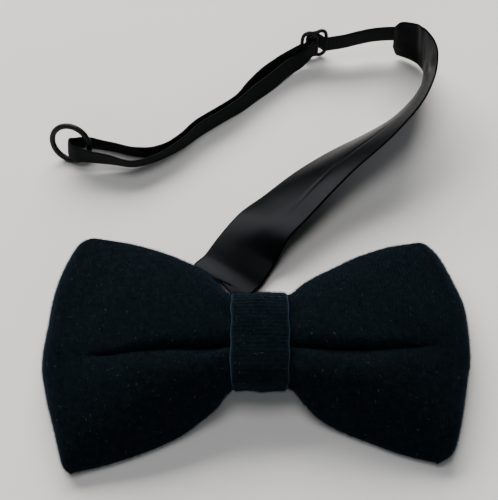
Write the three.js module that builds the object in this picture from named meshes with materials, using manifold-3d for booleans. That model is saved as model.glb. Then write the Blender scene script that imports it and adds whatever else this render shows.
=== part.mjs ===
// A ready-tied bow tie in velvet, lying on its back with its neck strap laid out behind it.
// Millimetres, +Z up. +X runs along the bow and +Y from the bow towards the strap.
// Every piece is worked out in the bow's own frame, with the knot over (0, 0) and the surface at z = 0.
// The last lines move the whole to its resting frame, with the origin under the middle of its box.
import * as THREE from 'three';
import { mergeVertices } from 'three/addons/utils/BufferGeometryUtils.js';
import Module from 'manifold-3d';

const wasm = await Module();
wasm.setup();

// Driving dimensions

const clearance = 0.3;

const velvet = { wall: 1.8, colour: 0x0b1626, roughness: 0.95 };
const satin = { thickness: 1.2, colour: 0x111417, roughness: 0.35 };
const elastic = { thickness: 1.0, height: 6.4, colour: 0x0c0d0d, roughness: 0.85 };
const wire = { colour: 0x0e0e10, roughness: 0.3, metalness: 0.5 };
const wireSides = 8;

const knotSize = {
  halfLength: 14.4, // along y, where the band turns round the ends
  halfHeight: 6.5, // through the bow
  middleY: -0.2,
  middleZ: 10.7,
  width: 16.4, // along x at the front
  endWidth: 15.2, // where it turns over the far and near ends
  wall: 2.0,
  border: 0.9, // rounding of the folded borders
  borderDip: 0.3, // where the rounding passes, as a share of border
  crown: 0.5, // how far the front swells between its borders
  crownShoulder: 0.7, // share of the swell half-way to a border
  boxiness: 2.8,
  steps: 44,
};

const ringSize = {
  meanRadius: 6.12,
  wireRadius: 0.9,
  steps: 30,
  tilt: 71.4, // from lying flat, about x
  turn: -17.2,
  x: -58.3,
  y: 73.1,
  z: 6.74,
};
const slideSize = {
  halfPitch: 4.1, // between the centre bar and an end bar
  halfHeight: 5.8,
  wireRadius: 0.6,
  waist: 0.7, // how far the long sides dip in at the centre bar
  waistWidth: 1.5,
  squareness: 4,
  steps: 32,
  lift: 0.05,
  turn: 14,
  x: 18.3,
  y: 114.9,
};
const hookSize = { thickness: 0.8, width: 5, mouth: 2.0, upper: 11, lower: 6, x: -3.5, y: -8 };

// Each wing is one velvet layer that runs out over the front, round the outer fold and back underneath.
// A row is a section across the wing: how far out it lies, where its far and near edges are, how high the
// front stands at its crest and at the two edges, how deep and where its middle crease dips, and how high the
// back layer's underside is.
const leftSections = [
  { out: 0.35, far: 10.6, near: -10.6, peak: 14.7, farZ: 11.6, nearZ: 11.4, dip: 2.6, mid: -1.2, back: 7.9 },
  { out: 8.3, far: 10.7, near: -10.7, peak: 14.7, farZ: 11.6, nearZ: 11.4, dip: 2.8, mid: -1.4, back: 7.8 },
  { out: 9.4, far: 15.6, near: -15.6, peak: 16.0, farZ: 11.0, nearZ: 8.9, dip: 4.0, mid: -1.6, back: 6.2 },
  { out: 12.0, far: 19.0, near: -17.9, peak: 17.0, farZ: 10.2, nearZ: 7.2, dip: 5.2, mid: -1.9, back: 4.2 },
  { out: 16.5, far: 23.7, near: -20.1, peak: 17.8, farZ: 9.4, nearZ: 5.1, dip: 6.0, mid: -2.3, back: 2.0 },
  { out: 23.0, far: 27.7, near: -23.7, peak: 18.0, farZ: 8.6, nearZ: 3.6, dip: 5.6, mid: -2.5, back: 0.5 },
  { out: 32.0, far: 31.6, near: -27.7, peak: 17.2, farZ: 8.0, nearZ: 3.2, dip: 4.6, mid: -3.2, back: 0 },
  { out: 43.0, far: 34.8, near: -31.4, peak: 14.6, farZ: 7.6, nearZ: 3.3, dip: 2.4, mid: -4.8, back: 0 },
  { out: 55.8, far: 37.0, near: -34.5, peak: 10.2, farZ: 7.2, nearZ: 4.2, dip: 0.4, mid: -4.6, back: 0 },
];
const rightSections = [
  { out: 0.35, far: 10.6, near: -10.6, peak: 14.7, farZ: 11.6, nearZ: 11.4, dip: 2.6, mid: -1.2, back: 7.9 },
  { out: 8.3, far: 10.7, near: -10.7, peak: 14.7, farZ: 11.6, nearZ: 11.4, dip: 2.8, mid: -1.4, back: 7.8 },
  { out: 9.4, far: 15.2, near: -14.2, peak: 16.0, farZ: 11.0, nearZ: 8.9, dip: 4.0, mid: -1.6, back: 6.2 },
  { out: 12.0, far: 18.1, near: -16.1, peak: 17.0, farZ: 10.2, nearZ: 7.2, dip: 5.0, mid: -1.9, back: 4.2 },
  { out: 16.5, far: 21.5, near: -19.1, peak: 17.6, farZ: 9.4, nearZ: 5.1, dip: 5.8, mid: -2.2, back: 2.0 },
  { out: 23.0, far: 25.3, near: -21.8, peak: 17.8, farZ: 8.6, nearZ: 3.6, dip: 5.8, mid: -2.8, back: 0.5 },
  { out: 32.0, far: 29.8, near: -25.2, peak: 17.0, farZ: 8.0, nearZ: 3.2, dip: 5.0, mid: -2.6, back: 0 },
  { out: 43.0, far: 33.4, near: -28.9, peak: 14.4, farZ: 7.6, nearZ: 3.3, dip: 2.8, mid: -1.8, back: 0 },
  { out: 54.6, far: 35.4, near: -31.9, peak: 10.0, farZ: 7.2, nearZ: 4.2, dip: 0.5, mid: -1.2, back: 0 },
];

// The outer fold in plan: across is -1 at the near edge, 0 at the crease and 1 at the far edge.
const leftFold = [
  { across: -1, out: 50.8 },
  { across: -0.9, out: 52.9 },
  { across: -0.62, out: 56.0 },
  { across: -0.3, out: 58.9 },
  { across: 0, out: 60.5 },
  { across: 0.35, out: 59.8 },
  { across: 0.7, out: 57.6 },
  { across: 0.9, out: 54.9 },
  { across: 1, out: 52.6 },
];
const rightFold = [
  { across: -1, out: 48.9 },
  { across: -0.9, out: 52.0 },
  { across: -0.62, out: 55.1 },
  { across: -0.3, out: 57.2 },
  { across: 0, out: 58.9 },
  { across: 0.35, out: 58.8 },
  { across: 0.7, out: 55.4 },
  { across: 0.9, out: 52.6 },
  { across: 1, out: 50.0 },
];

// The front's rise from an edge to the crest, and how far the crease draws the cloth down beside it.
const wingShape = { domePower: 2.4, domeBend: 0.62, creaseHalfWidth: 8.5 };
const wingGrid = { acrossHalf: 10, bunching: 0.75, frontPerRow: [1, 1, 1, 2, 2, 2, 3, 4], foldSteps: 6 };

// The neck band, from its end sewn behind the knot to its hemmed end on edge. A row is a section: the point
// of its left border, the band's heading there, its tilt about that border, its width and how far it arches.
const bandSections = [
  { x: -6.0, y: 8.0, z: 3.2, heading: 80, tilt: 0, width: 11.0, arch: 0 },
  { x: -6.4, y: 13.6, z: 3.0, heading: 75, tilt: 0, width: 11.4, arch: 0 },
  { x: -8.4, y: 20.2, z: 2.0, heading: 65, tilt: 0, width: 12.6, arch: 0.1 },
  { x: -13.0, y: 26.6, z: 1.2, heading: 59, tilt: 1, width: 16.4, arch: 0.2 },
  { x: -18.3, y: 32.2, z: 0.9, heading: 57, tilt: 2, width: 20.5, arch: 0.4 },
  { x: -12.9, y: 40.8, z: 0.8, heading: 57, tilt: 5, width: 20.5, arch: 0.6 },
  { x: -6.3, y: 49.6, z: 0.8, heading: 48, tilt: 15, width: 20.5, arch: 0.6 },
  { x: 2.2, y: 57.8, z: 0.8, heading: 43, tilt: 22, width: 20.5, arch: 0.7 },
  { x: 12.3, y: 67.1, z: 0.8, heading: 40, tilt: 29, width: 20.5, arch: 0.9 },
  { x: 22.5, y: 74.6, z: 0.8, heading: 31, tilt: 36, width: 20.5, arch: 1.0 },
  { x: 32.8, y: 80.8, z: 0.8, heading: 33, tilt: 46, width: 20.5, arch: 0.9 },
  { x: 38.1, y: 84.3, z: 0.8, heading: 37, tilt: 52, width: 20.5, arch: 0.7 },
  { x: 43.5, y: 88.6, z: 0.8, heading: 43, tilt: 59, width: 20.5, arch: 0.5 },
  { x: 50.1, y: 96.0, z: 0.7, heading: 56, tilt: 72, width: 20.5, arch: 0.3 },
  { x: 53.3, y: 102.2, z: 0.7, heading: 71, tilt: 83, width: 20.5, arch: 0 },
  { x: 54.3, y: 107.3, z: 0.7, heading: 98, tilt: 93, width: 20.5, arch: 0 },
  { x: 53.0, y: 110.7, z: 0.7, heading: 126, tilt: 96, width: 20.2, arch: 0 },
  { x: 50.4, y: 113.0, z: 0.7, heading: 147, tilt: 96, width: 19.4, arch: 0 },
  { x: 46.1, y: 115.0, z: 0.8, heading: 157, tilt: 95, width: 17.2, arch: 0 },
  { x: 44.5, y: 115.7, z: 4.0, heading: 157, tilt: 95, width: 11.0, arch: 0 },
];
const bandGrid = { alongPerRow: 3, across: 6 };

// The single strand, from behind the band's hemmed end to the slide: its middle in plan and its lower border.
const singleStrand = [
  { x: 52.0, y: 114.3, z: 5.8 },
  { x: 49.4, y: 116.0, z: 5.8 },
  { x: 46.6, y: 117.0, z: 5.7 },
  { x: 42.5, y: 117.4, z: 5.4 },
  { x: 37.5, y: 117.2, z: 5.0 },
  { x: 32.5, y: 116.2, z: 4.6 },
  { x: 28.0, y: 115.0, z: 4.3 },
];
// The doubled strap, from the slide to the ring. Of each strand: the lower border's middle, its height and
// how many degrees the strand leans to the far side.
const farStrand = [
  { x: 8.1, y: 108.4, z: 0.8, lean: 12 },
  { x: 2.5, y: 103.2, z: 0.3, lean: 16 },
  { x: -1.9, y: 98.2, z: 0, lean: 14 },
  { x: -6.0, y: 93.0, z: 0, lean: 8 },
  { x: -12.4, y: 88.1, z: 0, lean: 3 },
  { x: -19.2, y: 82.8, z: 0, lean: 3 },
  { x: -24.7, y: 77.8, z: 0, lean: -5 },
  { x: -30.0, y: 74.3, z: 0, lean: -10 },
  { x: -34.7, y: 72.6, z: 0, lean: -8 },
  { x: -39.7, y: 72.8, z: 0, lean: -8 },
  { x: -45.9, y: 74.7, z: 0, lean: -9 },
  { x: -52.4, y: 76.4, z: 0, lean: -7 },
];
const nearStrand = [
  { x: 16.2, y: 111.5, z: 1.3, lean: 5 },
  { x: 13.6, y: 109.3, z: 0.3, lean: 12 },
  { x: 10.2, y: 106.4, z: 0.4, lean: 13 },
  { x: 4.9, y: 100.8, z: 0.1, lean: 16 },
  { x: 0.0, y: 96.4, z: 0, lean: 14 },
  { x: -5.0, y: 91.7, z: 0, lean: 8 },
  { x: -11.6, y: 86.8, z: 0, lean: 1 },
  { x: -18.3, y: 81.5, z: 0, lean: 1 },
  { x: -23.9, y: 76.4, z: 0, lean: -5 },
  { x: -29.2, y: 72.8, z: 0, lean: -10 },
  { x: -34.4, y: 70.2, z: 0.3, lean: -8 },
  { x: -39.8, y: 68.5, z: 1.0, lean: -3 },
  { x: -46.2, y: 68.9, z: 1.9, lean: 3 },
  { x: -52.0, y: 68.9, z: 2.5, lean: 5 },
];
const strandSteps = 3;
const ringTurn = {
  x: -55.6,
  y: 72.7,
  alongRadius: 3.7,
  acrossRadius: 3.7,
  steps: 10,
  nearZ: 2.7,
  farZ: 0.1,
  lean: 6, // inwards, all round the turn
};

// The strap's way through the slide: angles in degrees round a bar, lower borders at the bars and the steps
// of each turn.
const weave = {
  enterAngle: -75,
  leaveAngle: -118,
  sewnFrom: -100,
  sewnTo: 158,
  innerZ: 3.5,
  centreZ: 3.0,
  outerZ: 2.6,
  barSteps: 4,
  centreSteps: 7,
  sewnSteps: 9,
  sewnZ: 2.6,
  spare: 0.05,
};

// Helpers

const radians = THREE.MathUtils.degToRad;

// One column of a table, read at a place along it as a smooth curve through its rows.
function readColumn(rows, key, column, at) {
  const last = rows.length - 1;
  if (at <= rows[0][key]) return rows[0][column];
  if (at >= rows[last][key]) return rows[last][column];
  let i = 0;
  while (at > rows[i + 1][key]) i += 1;
  const slope = (a, b) => (rows[b][column] - rows[a][column]) / (rows[b][key] - rows[a][key]);
  const here = slope(i, i + 1);
  const mixed = (a, b) => (a * b <= 0 ? 0 : (2 * a * b) / (a + b));
  const start = i > 0 ? mixed(slope(i - 1, i), here) : here;
  const end = i + 1 < last ? mixed(here, slope(i + 1, i + 2)) : here;
  const step = rows[i + 1][key] - rows[i][key];
  const u = (at - rows[i][key]) / step;
  const v = 1 - u;
  return rows[i][column] * (1 + 2 * u) * v * v + rows[i + 1][column] * (3 - 2 * u) * u * u
    + step * (start * u * v * v - end * u * u * v);
}

// A table's rows with further rows between them, every column read as a smooth curve.
function smoothRows(rows, stepsPerRow) {
  const counted = rows.map((row, i) => ({ ...row, place: i }));
  const result = [];
  for (let i = 0; i <= (rows.length - 1) * stepsPerRow; i += 1) {
    const columns = Object.keys(rows[0]);
    result.push(Object.fromEntries(columns.map(
      (column) => [column, readColumn(counted, 'place', column, i / stepsPerRow)],
    )));
  }
  return result;
}

// A closed mesh from corner points and triangles, turned inside out if its faces point in.
function closedMesh(points, triangles) {
  let volume = 0;
  for (const [a, b, c] of triangles) {
    volume += points[a].dot(new THREE.Vector3().crossVectors(points[b], points[c]));
  }
  const geometry = new THREE.BufferGeometry();
  geometry.setAttribute('position', new THREE.Float32BufferAttribute(points.flatMap((p) => p.toArray()), 3));
  geometry.setIndex(triangles.flatMap(([a, b, c]) => (volume > 0 ? [a, b, c] : [a, c, b])));
  geometry.computeVertexNormals();
  return geometry;
}

// The solid between two grids of points that lie face to face, closed round its four borders.
function layer(outside, inside) {
  const rows = outside.length;
  const columns = outside[0].length;
  const points = [...outside.flat(), ...inside.flat()];
  const triangles = [];
  const quad = (a, b, c, d) => triangles.push([a, b, c], [a, c, d]);
  const index = (side, i, j) => side * rows * columns + i * columns + j;
  for (let i = 0; i + 1 < rows; i += 1) {
    for (let j = 0; j + 1 < columns; j += 1) {
      quad(index(0, i, j), index(0, i + 1, j), index(0, i + 1, j + 1), index(0, i, j + 1));
      quad(index(1, i, j), index(1, i, j + 1), index(1, i + 1, j + 1), index(1, i + 1, j));
    }
    const end = columns - 1;
    quad(index(0, i, 0), index(1, i, 0), index(1, i + 1, 0), index(0, i + 1, 0));
    quad(index(0, i, end), index(0, i + 1, end), index(1, i + 1, end), index(1, i, end));
  }
  for (let j = 0; j + 1 < columns; j += 1) {
    const end = rows - 1;
    quad(index(0, 0, j), index(0, 0, j + 1), index(1, 0, j + 1), index(1, 0, j));
    quad(index(0, end, j), index(1, end, j), index(1, end, j + 1), index(0, end, j + 1));
  }
  return closedMesh(points, triangles);
}

// The grid's unit normals, from each point's neighbours.
function gridNormals(grid) {
  const rows = grid.length;
  const columns = grid[0].length;
  return grid.map((row, i) => row.map((point, j) => {
    const along = grid[Math.min(i + 1, rows - 1)][j].clone().sub(grid[Math.max(i - 1, 0)][j]);
    const across = row[Math.min(j + 1, columns - 1)].clone().sub(row[Math.max(j - 1, 0)]);
    return along.cross(across).normalize();
  }));
}

const shifted = (grid, normals, by) => grid.map((row, i) => row.map(
  (point, j) => point.clone().addScaledVector(normals[i][j], by),
));

// A closed tube, ring or band: one section carried round a closed path.
function closedLoop(sections) {
  const size = sections[0].length;
  const triangles = [];
  sections.forEach((section, i) => {
    const next = (i + 1) % sections.length;
    for (let j = 0; j < size; j += 1) {
      const k = (j + 1) % size;
      triangles.push([i * size + j, next * size + j, next * size + k]);
      triangles.push([i * size + j, next * size + k, i * size + k]);
    }
  });
  return closedMesh(sections.flat(), triangles);
}

const superellipse = (angle, power) => {
  const bend = (value) => Math.sign(value) * Math.abs(value) ** (2 / power);
  return [bend(Math.cos(angle)), bend(Math.sin(angle))];
};

function named(name, geometry, look) {
  const material = new THREE.MeshStandardMaterial({
    color: look.colour,
    roughness: look.roughness,
    metalness: look.metalness ?? 0,
  });
  const mesh = new THREE.Mesh(geometry, material);
  mesh.name = name;
  return mesh;
}

// Wings

// Places across the wing, from -1 to 1, closer together at the crease and at the two edges.
function placesAcross() {
  const places = [];
  for (let j = -wingGrid.acrossHalf; j <= wingGrid.acrossHalf; j += 1) {
    const u = Math.abs(j) / wingGrid.acrossHalf;
    places.push(Math.sign(j) * (u - (wingGrid.bunching * Math.sin(2 * Math.PI * u)) / (2 * Math.PI)));
  }
  return places;
}

function wing(side, sections, fold) {
  const end = sections[sections.length - 1];
  const dome = (across) => (1 - Math.abs(across) ** wingShape.domePower) ** wingShape.domeBend;
  const between = (near, far, across) => near + ((far - near) * (across + 1)) / 2;

  // Half the height of the fold, which is where the front turns over to the back.
  function foldRadius(across) {
    const edge = between(end.nearZ, end.farZ, across);
    return (edge + (end.peak - edge) * dome(across)) / 2;
  }

  function section(out, across) {
    const read = (column) => readColumn(sections, 'out', column, out);
    const valley = read('mid');
    const y = valley + ((across > 0 ? read('far') : read('near')) - valley) * Math.abs(across);
    const edge = between(read('nearZ'), read('farZ'), across);
    const fromCrease = Math.min(1, Math.abs(y - valley) / wingShape.creaseHalfWidth);
    const top = edge + (read('peak') - edge) * dome(across) - read('dip') * (1 - fromCrease) ** 2;
    const pull = end.out - (readColumn(fold, 'across', 'out', across) - foldRadius(across));
    return { x: out - pull * (out / end.out) ** 2, y, top, under: read('back') };
  }

  const places = placesAcross();
  const stations = [];
  sections.forEach((row, i) => {
    const steps = wingGrid.frontPerRow[i] ?? 0;
    for (let k = 0; k < steps; k += 1) {
      stations.push(row.out + ((sections[i + 1].out - row.out) * k) / steps);
    }
  });
  stations.push(end.out);

  const point = (x, y, z) => new THREE.Vector3(side * x, y, z);
  const grid = stations.map((out) => places.map((across) => {
    const s = section(out, across);
    return point(s.x, s.y, s.top);
  }));
  for (let k = 1; k < wingGrid.foldSteps; k += 1) {
    const angle = Math.PI / 2 - (Math.PI * k) / wingGrid.foldSteps;
    grid.push(places.map((across) => {
      const s = section(end.out, across);
      const radius = s.top / 2;
      return point(s.x + radius * Math.cos(angle), s.y, radius * (1 + Math.sin(angle)));
    }));
  }
  const backStations = sections.map((row) => row.out).reverse();
  backStations.forEach((out) => grid.push(places.map((across) => {
    const s = section(out, across);
    return point(s.x, s.y, s.under);
  })));

  const normals = gridNormals(grid);
  return layer(grid, shifted(grid, normals, -side * velvet.wall));
}

// Knot

function knot() {
  const { halfLength, halfHeight, middleY, middleZ, width, endWidth, wall, boxiness, steps } = knotSize;
  const { border, crown } = knotSize;
  const dip = border * knotSize.borderDip;
  const shoulder = knotSize.crownShoulder;
  const sections = [];
  for (let i = 0; i < steps; i += 1) {
    const angle = (2 * Math.PI * i) / steps;
    const place = (inset, x) => {
      const [c, s] = superellipse(angle, boxiness);
      return new THREE.Vector3(x, middleY + (halfLength - inset) * c, middleZ + (halfHeight - inset) * s);
    };
    const towardsFront = Math.max(0, Math.sin(angle)) ** 0.5;
    const half = (endWidth + (width - endWidth) * towardsFront) / 2;
    const swell = crown * towardsFront;
    sections.push([
      place(0, -half + border),
      place(-swell * shoulder, -half / 2),
      place(-swell, 0),
      place(-swell * shoulder, half / 2),
      place(0, half - border),
      place(dip, half - dip),
      place(border, half),
      place(wall - dip, half - dip),
      place(wall, half - border),
      place(wall, -half + border),
      place(wall - dip, -half + dip),
      place(border, -half),
      place(dip, -half + dip),
    ]);
  }
  return closedLoop(sections);
}

// Neck band

function neckBand() {
  const middle = smoothRows(bandSections, bandGrid.alongPerRow).map((row) => {
    const heading = radians(row.heading);
    const tilt = radians(row.tilt);
    const across = new THREE.Vector3(
      Math.sin(heading) * Math.cos(tilt),
      -Math.cos(heading) * Math.cos(tilt),
      Math.sin(tilt),
    );
    const up = new THREE.Vector3(
      -Math.sin(heading) * Math.sin(tilt),
      Math.cos(heading) * Math.sin(tilt),
      Math.cos(tilt),
    );
    const line = [];
    for (let j = 0; j <= bandGrid.across; j += 1) {
      const t = j / bandGrid.across;
      line.push(new THREE.Vector3(row.x, row.y, row.z)
        .addScaledVector(across, row.width * t)
        .addScaledVector(up, row.arch * Math.sin(Math.PI * t)));
    }
    return line;
  });
  const normals = gridNormals(middle);
  return layer(shifted(middle, normals, satin.thickness / 2), shifted(middle, normals, -satin.thickness / 2));
}

// Elastic strap

// A point in the slide's own plan frame: u along the slide, v towards its far face.
function atSlide(u, v) {
  const turn = radians(slideSize.turn);
  return {
    x: slideSize.x + u * Math.cos(turn) - v * Math.sin(turn),
    y: slideSize.y + u * Math.sin(turn) + v * Math.cos(turn),
  };
}

// Points round one of the slide's bars, from one angle to another in degrees.
function roundBar(bar, radius, from, to, z, steps) {
  const points = [];
  for (let k = 0; k <= steps; k += 1) {
    const angle = radians(from + ((to - from) * k) / steps);
    points.push({ ...atSlide(bar + radius * Math.cos(angle), radius * Math.sin(angle)), z });
  }
  return points;
}

// Places along a strand, each with the shift in plan of the upper border above it. The rows run away from
// the slide, so the far side is to their right.
function leaning(rows) {
  return rows.map((row, i) => {
    const before = rows[Math.max(0, i - 1)];
    const after = rows[Math.min(rows.length - 1, i + 1)];
    const away = new THREE.Vector2(after.x - before.x, after.y - before.y).normalize();
    const shift = elastic.height * Math.sin(radians(row.lean));
    return { x: row.x, y: row.y, z: row.z, over: new THREE.Vector2(away.y * shift, -away.x * shift) };
  });
}

// The strap's whole way: through the slide, out to the ring, round it and back to the slide's centre bar.
// Each place is the lower border's middle, with the shift in plan of the upper border above it.
function strapWay() {
  const half = elastic.thickness / 2;
  const pitch = slideSize.halfPitch;
  const overBar = slideSize.wireRadius + clearance + half;
  const sewnLoop = slideSize.wireRadius + clearance / 2 + half;
  const overLoop = sewnLoop + elastic.thickness + clearance / 2 + weave.spare;
  const lean = THREE.MathUtils.radToDeg(Math.acos((overBar + overLoop) / pitch));

  const through = [
    ...roundBar(pitch, overBar, weave.enterAngle, -180 + lean, weave.innerZ, weave.barSteps),
    ...roundBar(0, overLoop, lean, 180 - lean, weave.centreZ, weave.centreSteps),
    ...roundBar(-pitch, overBar, -lean, weave.leaveAngle, weave.outerZ, weave.barSteps),
  ];
  const sewnLoopRound = roundBar(0, sewnLoop, weave.sewnFrom, weave.sewnTo, weave.sewnZ, weave.sewnSteps);

  const turn = [];
  const turnOver = elastic.height * Math.sin(radians(ringTurn.lean));
  for (let k = 0; k <= ringTurn.steps; k += 1) {
    const angle = Math.PI / 2 + (Math.PI * k) / ringTurn.steps;
    const rise = THREE.MathUtils.smoothstep(k, 1, ringTurn.steps / 2);
    turn.push({
      x: ringTurn.x + ringTurn.alongRadius * Math.cos(angle),
      y: ringTurn.y + ringTurn.acrossRadius * Math.sin(angle),
      z: ringTurn.farZ + (ringTurn.nearZ - ringTurn.farZ) * rise,
      over: new THREE.Vector2(-Math.cos(angle), -Math.sin(angle)).multiplyScalar(turnOver),
    });
  }
  return [
    ...singleStrand,
    ...through,
    ...leaning(smoothRows(farStrand, strandSteps)),
    ...turn,
    ...leaning(smoothRows(nearStrand, strandSteps)).reverse(),
    ...sewnLoopRound,
  ];
}

function elasticStrap() {
  const way = strapWay();
  const faces = [[], []];
  way.forEach((p, i) => {
    const before = way[Math.max(0, i - 1)];
    const after = way[Math.min(way.length - 1, i + 1)];
    const along = new THREE.Vector2(after.x - before.x, after.y - before.y).normalize();
    const over = p.over ?? new THREE.Vector2();
    const rise = Math.sqrt(elastic.height ** 2 - over.lengthSq());
    [-1, 1].forEach((face, k) => {
      const lower = new THREE.Vector3(
        p.x - (face * along.y * elastic.thickness) / 2,
        p.y + (face * along.x * elastic.thickness) / 2,
        p.z,
      );
      faces[k].push([lower, lower.clone().add(new THREE.Vector3(over.x, over.y, rise))]);
    });
  });
  return layer(faces[0], faces[1]);
}

// Slide and ring

function tubeRound(path, radius, sides) {
  const sections = path.map((p, i) => {
    const before = path[(i + path.length - 1) % path.length];
    const after = path[(i + 1) % path.length];
    const along = after.clone().sub(before).normalize();
    const side = new THREE.Vector3(0, 1, 0).cross(along).normalize();
    const other = along.clone().cross(side);
    const section = [];
    for (let k = 0; k < sides; k += 1) {
      const angle = (2 * Math.PI * k) / sides;
      section.push(p.clone().addScaledVector(side, radius * Math.cos(angle))
        .addScaledVector(other, radius * Math.sin(angle)));
    }
    return section;
  });
  return closedLoop(sections);
}

function toSolid(geometry) {
  return new wasm.Manifold(new wasm.Mesh({
    numProp: 3,
    vertProperties: new Float32Array(geometry.attributes.position.array),
    triVerts: new Uint32Array(geometry.index.array),
  }));
}

function fromSolid(solid) {
  const mesh = solid.getMesh();
  const geometry = new THREE.BufferGeometry();
  geometry.setAttribute('position', new THREE.Float32BufferAttribute(mesh.vertProperties, 3));
  geometry.setIndex(Array.from(mesh.triVerts));
  geometry.computeVertexNormals();
  return geometry;
}

// The slide stands in its own x-z plane: an outer wire with a waist, and a bar across the waist.
function slide() {
  const { halfPitch, halfHeight, wireRadius, waist, waistWidth, squareness, steps } = slideSize;
  const path = [];
  for (let i = 0; i < steps; i += 1) {
    const [c, s] = superellipse((2 * Math.PI * (i + 0.5)) / steps, squareness);
    const x = halfPitch * c;
    const pinch = waist * Math.exp(-((x / waistWidth) ** 2));
    path.push(new THREE.Vector3(x, 0, (halfHeight - pinch) * s));
  }
  const barLength = 2 * (halfHeight - waist);
  const bar = new THREE.CylinderGeometry(wireRadius, wireRadius, barLength, wireSides, 1);
  bar.rotateX(Math.PI / 2);
  bar.deleteAttribute('normal');
  bar.deleteAttribute('uv');
  return fromSolid(toSolid(tubeRound(path, wireRadius, wireSides)).add(toSolid(mergeVertices(bar))));
}

function wireRing() {
  const { meanRadius, steps } = ringSize;
  const path = [];
  for (let i = 0; i < steps; i += 1) {
    const angle = (2 * Math.PI * i) / steps;
    path.push(new THREE.Vector3(meanRadius * Math.cos(angle), 0, -meanRadius * Math.sin(angle)));
  }
  const ring = tubeRound(path, ringSize.wireRadius, wireSides);
  ring.rotateX(Math.PI / 2);
  return ring;
}

// Hook: a strip bent back under itself, its mouth open towards +X.
function hook() {
  const { thickness, width, mouth, upper, lower } = hookSize;
  const outerRadius = mouth / 2 + thickness;
  const shape = new THREE.Shape();
  shape.moveTo(0, 2 * outerRadius);
  shape.lineTo(0, 2 * outerRadius - thickness);
  shape.lineTo(upper - outerRadius, 2 * outerRadius - thickness);
  shape.absarc(upper - outerRadius, outerRadius, mouth / 2, Math.PI / 2, -Math.PI / 2, true);
  shape.lineTo(upper - outerRadius - lower, thickness);
  shape.lineTo(upper - outerRadius - lower, 0);
  shape.lineTo(upper - outerRadius, 0);
  shape.absarc(upper - outerRadius, outerRadius, outerRadius, -Math.PI / 2, Math.PI / 2, false);
  const strip = new THREE.ExtrudeGeometry(shape, { depth: width, bevelEnabled: false, curveSegments: 8 });
  strip.rotateX(Math.PI / 2);
  strip.translate(0, width, 0);
  return strip;
}

// Assembly

const bow = new THREE.Group();
bow.add(named('wing_left', wing(-1, leftSections, leftFold), velvet));
bow.add(named('wing_right', wing(1, rightSections, rightFold), velvet));
bow.add(named('knot', knot(), velvet));
bow.add(named('satin_band', neckBand(), satin));
bow.add(named('elastic_strap', elasticStrap(), elastic));

const slideMesh = named('slide', slide(), wire);
const slideHeight = slideSize.lift + slideSize.wireRadius + slideSize.halfHeight;
slideMesh.position.set(slideSize.x, slideSize.y, slideHeight);
slideMesh.rotation.z = radians(slideSize.turn);
bow.add(slideMesh);

const ringMesh = named('ring', wireRing(), wire);
ringMesh.position.set(ringSize.x, ringSize.y, ringSize.z);
ringMesh.rotation.set(radians(ringSize.tilt), 0, radians(ringSize.turn), 'ZYX');
bow.add(ringMesh);

const hookMesh = named('hook', hook(), wire);
hookMesh.position.set(hookSize.x, hookSize.y, clearance);
bow.add(hookMesh);

bow.updateMatrixWorld(true);
const box = new THREE.Box3().setFromObject(bow, true);
const middle = box.getCenter(new THREE.Vector3());
bow.position.set(-middle.x, -middle.y, -box.min.z);

export default bow;
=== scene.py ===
import math

import bpy
import numpy as np
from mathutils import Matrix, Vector


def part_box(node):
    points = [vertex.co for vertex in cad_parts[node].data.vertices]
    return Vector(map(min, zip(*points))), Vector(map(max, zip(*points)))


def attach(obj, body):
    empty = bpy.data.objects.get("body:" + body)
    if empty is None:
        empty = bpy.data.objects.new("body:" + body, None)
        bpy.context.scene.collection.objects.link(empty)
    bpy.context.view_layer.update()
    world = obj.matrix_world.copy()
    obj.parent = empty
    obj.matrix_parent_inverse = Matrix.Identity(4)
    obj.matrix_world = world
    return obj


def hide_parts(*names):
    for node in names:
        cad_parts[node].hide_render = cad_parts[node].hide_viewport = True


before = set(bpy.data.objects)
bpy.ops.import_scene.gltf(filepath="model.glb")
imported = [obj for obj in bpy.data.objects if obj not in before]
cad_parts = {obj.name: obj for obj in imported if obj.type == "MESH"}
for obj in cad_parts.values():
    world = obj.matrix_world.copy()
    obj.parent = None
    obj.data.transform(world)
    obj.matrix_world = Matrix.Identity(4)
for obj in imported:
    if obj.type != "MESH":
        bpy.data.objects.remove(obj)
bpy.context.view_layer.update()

# Sizes are worked out in millimetres in the bow's own frame, with the knot over (0, 0).
knotMiddleY = -0.2
knotLow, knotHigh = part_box("knot")
bowOrigin = np.array([
    (knotLow.x + knotHigh.x) * 500,
    (knotLow.y + knotHigh.y) * 500 - knotMiddleY,
    0.0,
])


# Tables and curves

# Reads one column of a table as a smooth curve over its first column.
def readColumn(table, column, at):
    key = np.array([row[0] for row in table["rows"]], float)
    place = table["columns"].index(column)
    value = np.array([row[place] for row in table["rows"]], float)
    at = np.clip(np.asarray(at, float), key[0], key[-1])
    i = np.clip(np.searchsorted(key, at, side="right") - 1, 0, len(key) - 2)
    step = np.diff(key)
    slope = np.diff(value) / step
    bend = np.concatenate([slope[:1], np.zeros(len(key) - 2), slope[-1:]])
    for k in range(1, len(key) - 1):
        product = slope[k - 1] * slope[k]
        bend[k] = 0 if product <= 0 else 2 * product / (slope[k - 1] + slope[k])
    u = (at - key[i]) / step[i]
    v = 1 - u
    ends = value[i] * (1 + 2 * u) * v * v + value[i + 1] * (3 - 2 * u) * u * u
    return ends + step[i] * (bend[i] * u * v * v - bend[i + 1] * u * u * v)


# A table whose first column is the row's own number.
def countedTable(columns, rows):
    return {"columns": ("row", *columns), "rows": [(i, *row) for i, row in enumerate(rows)]}


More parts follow.
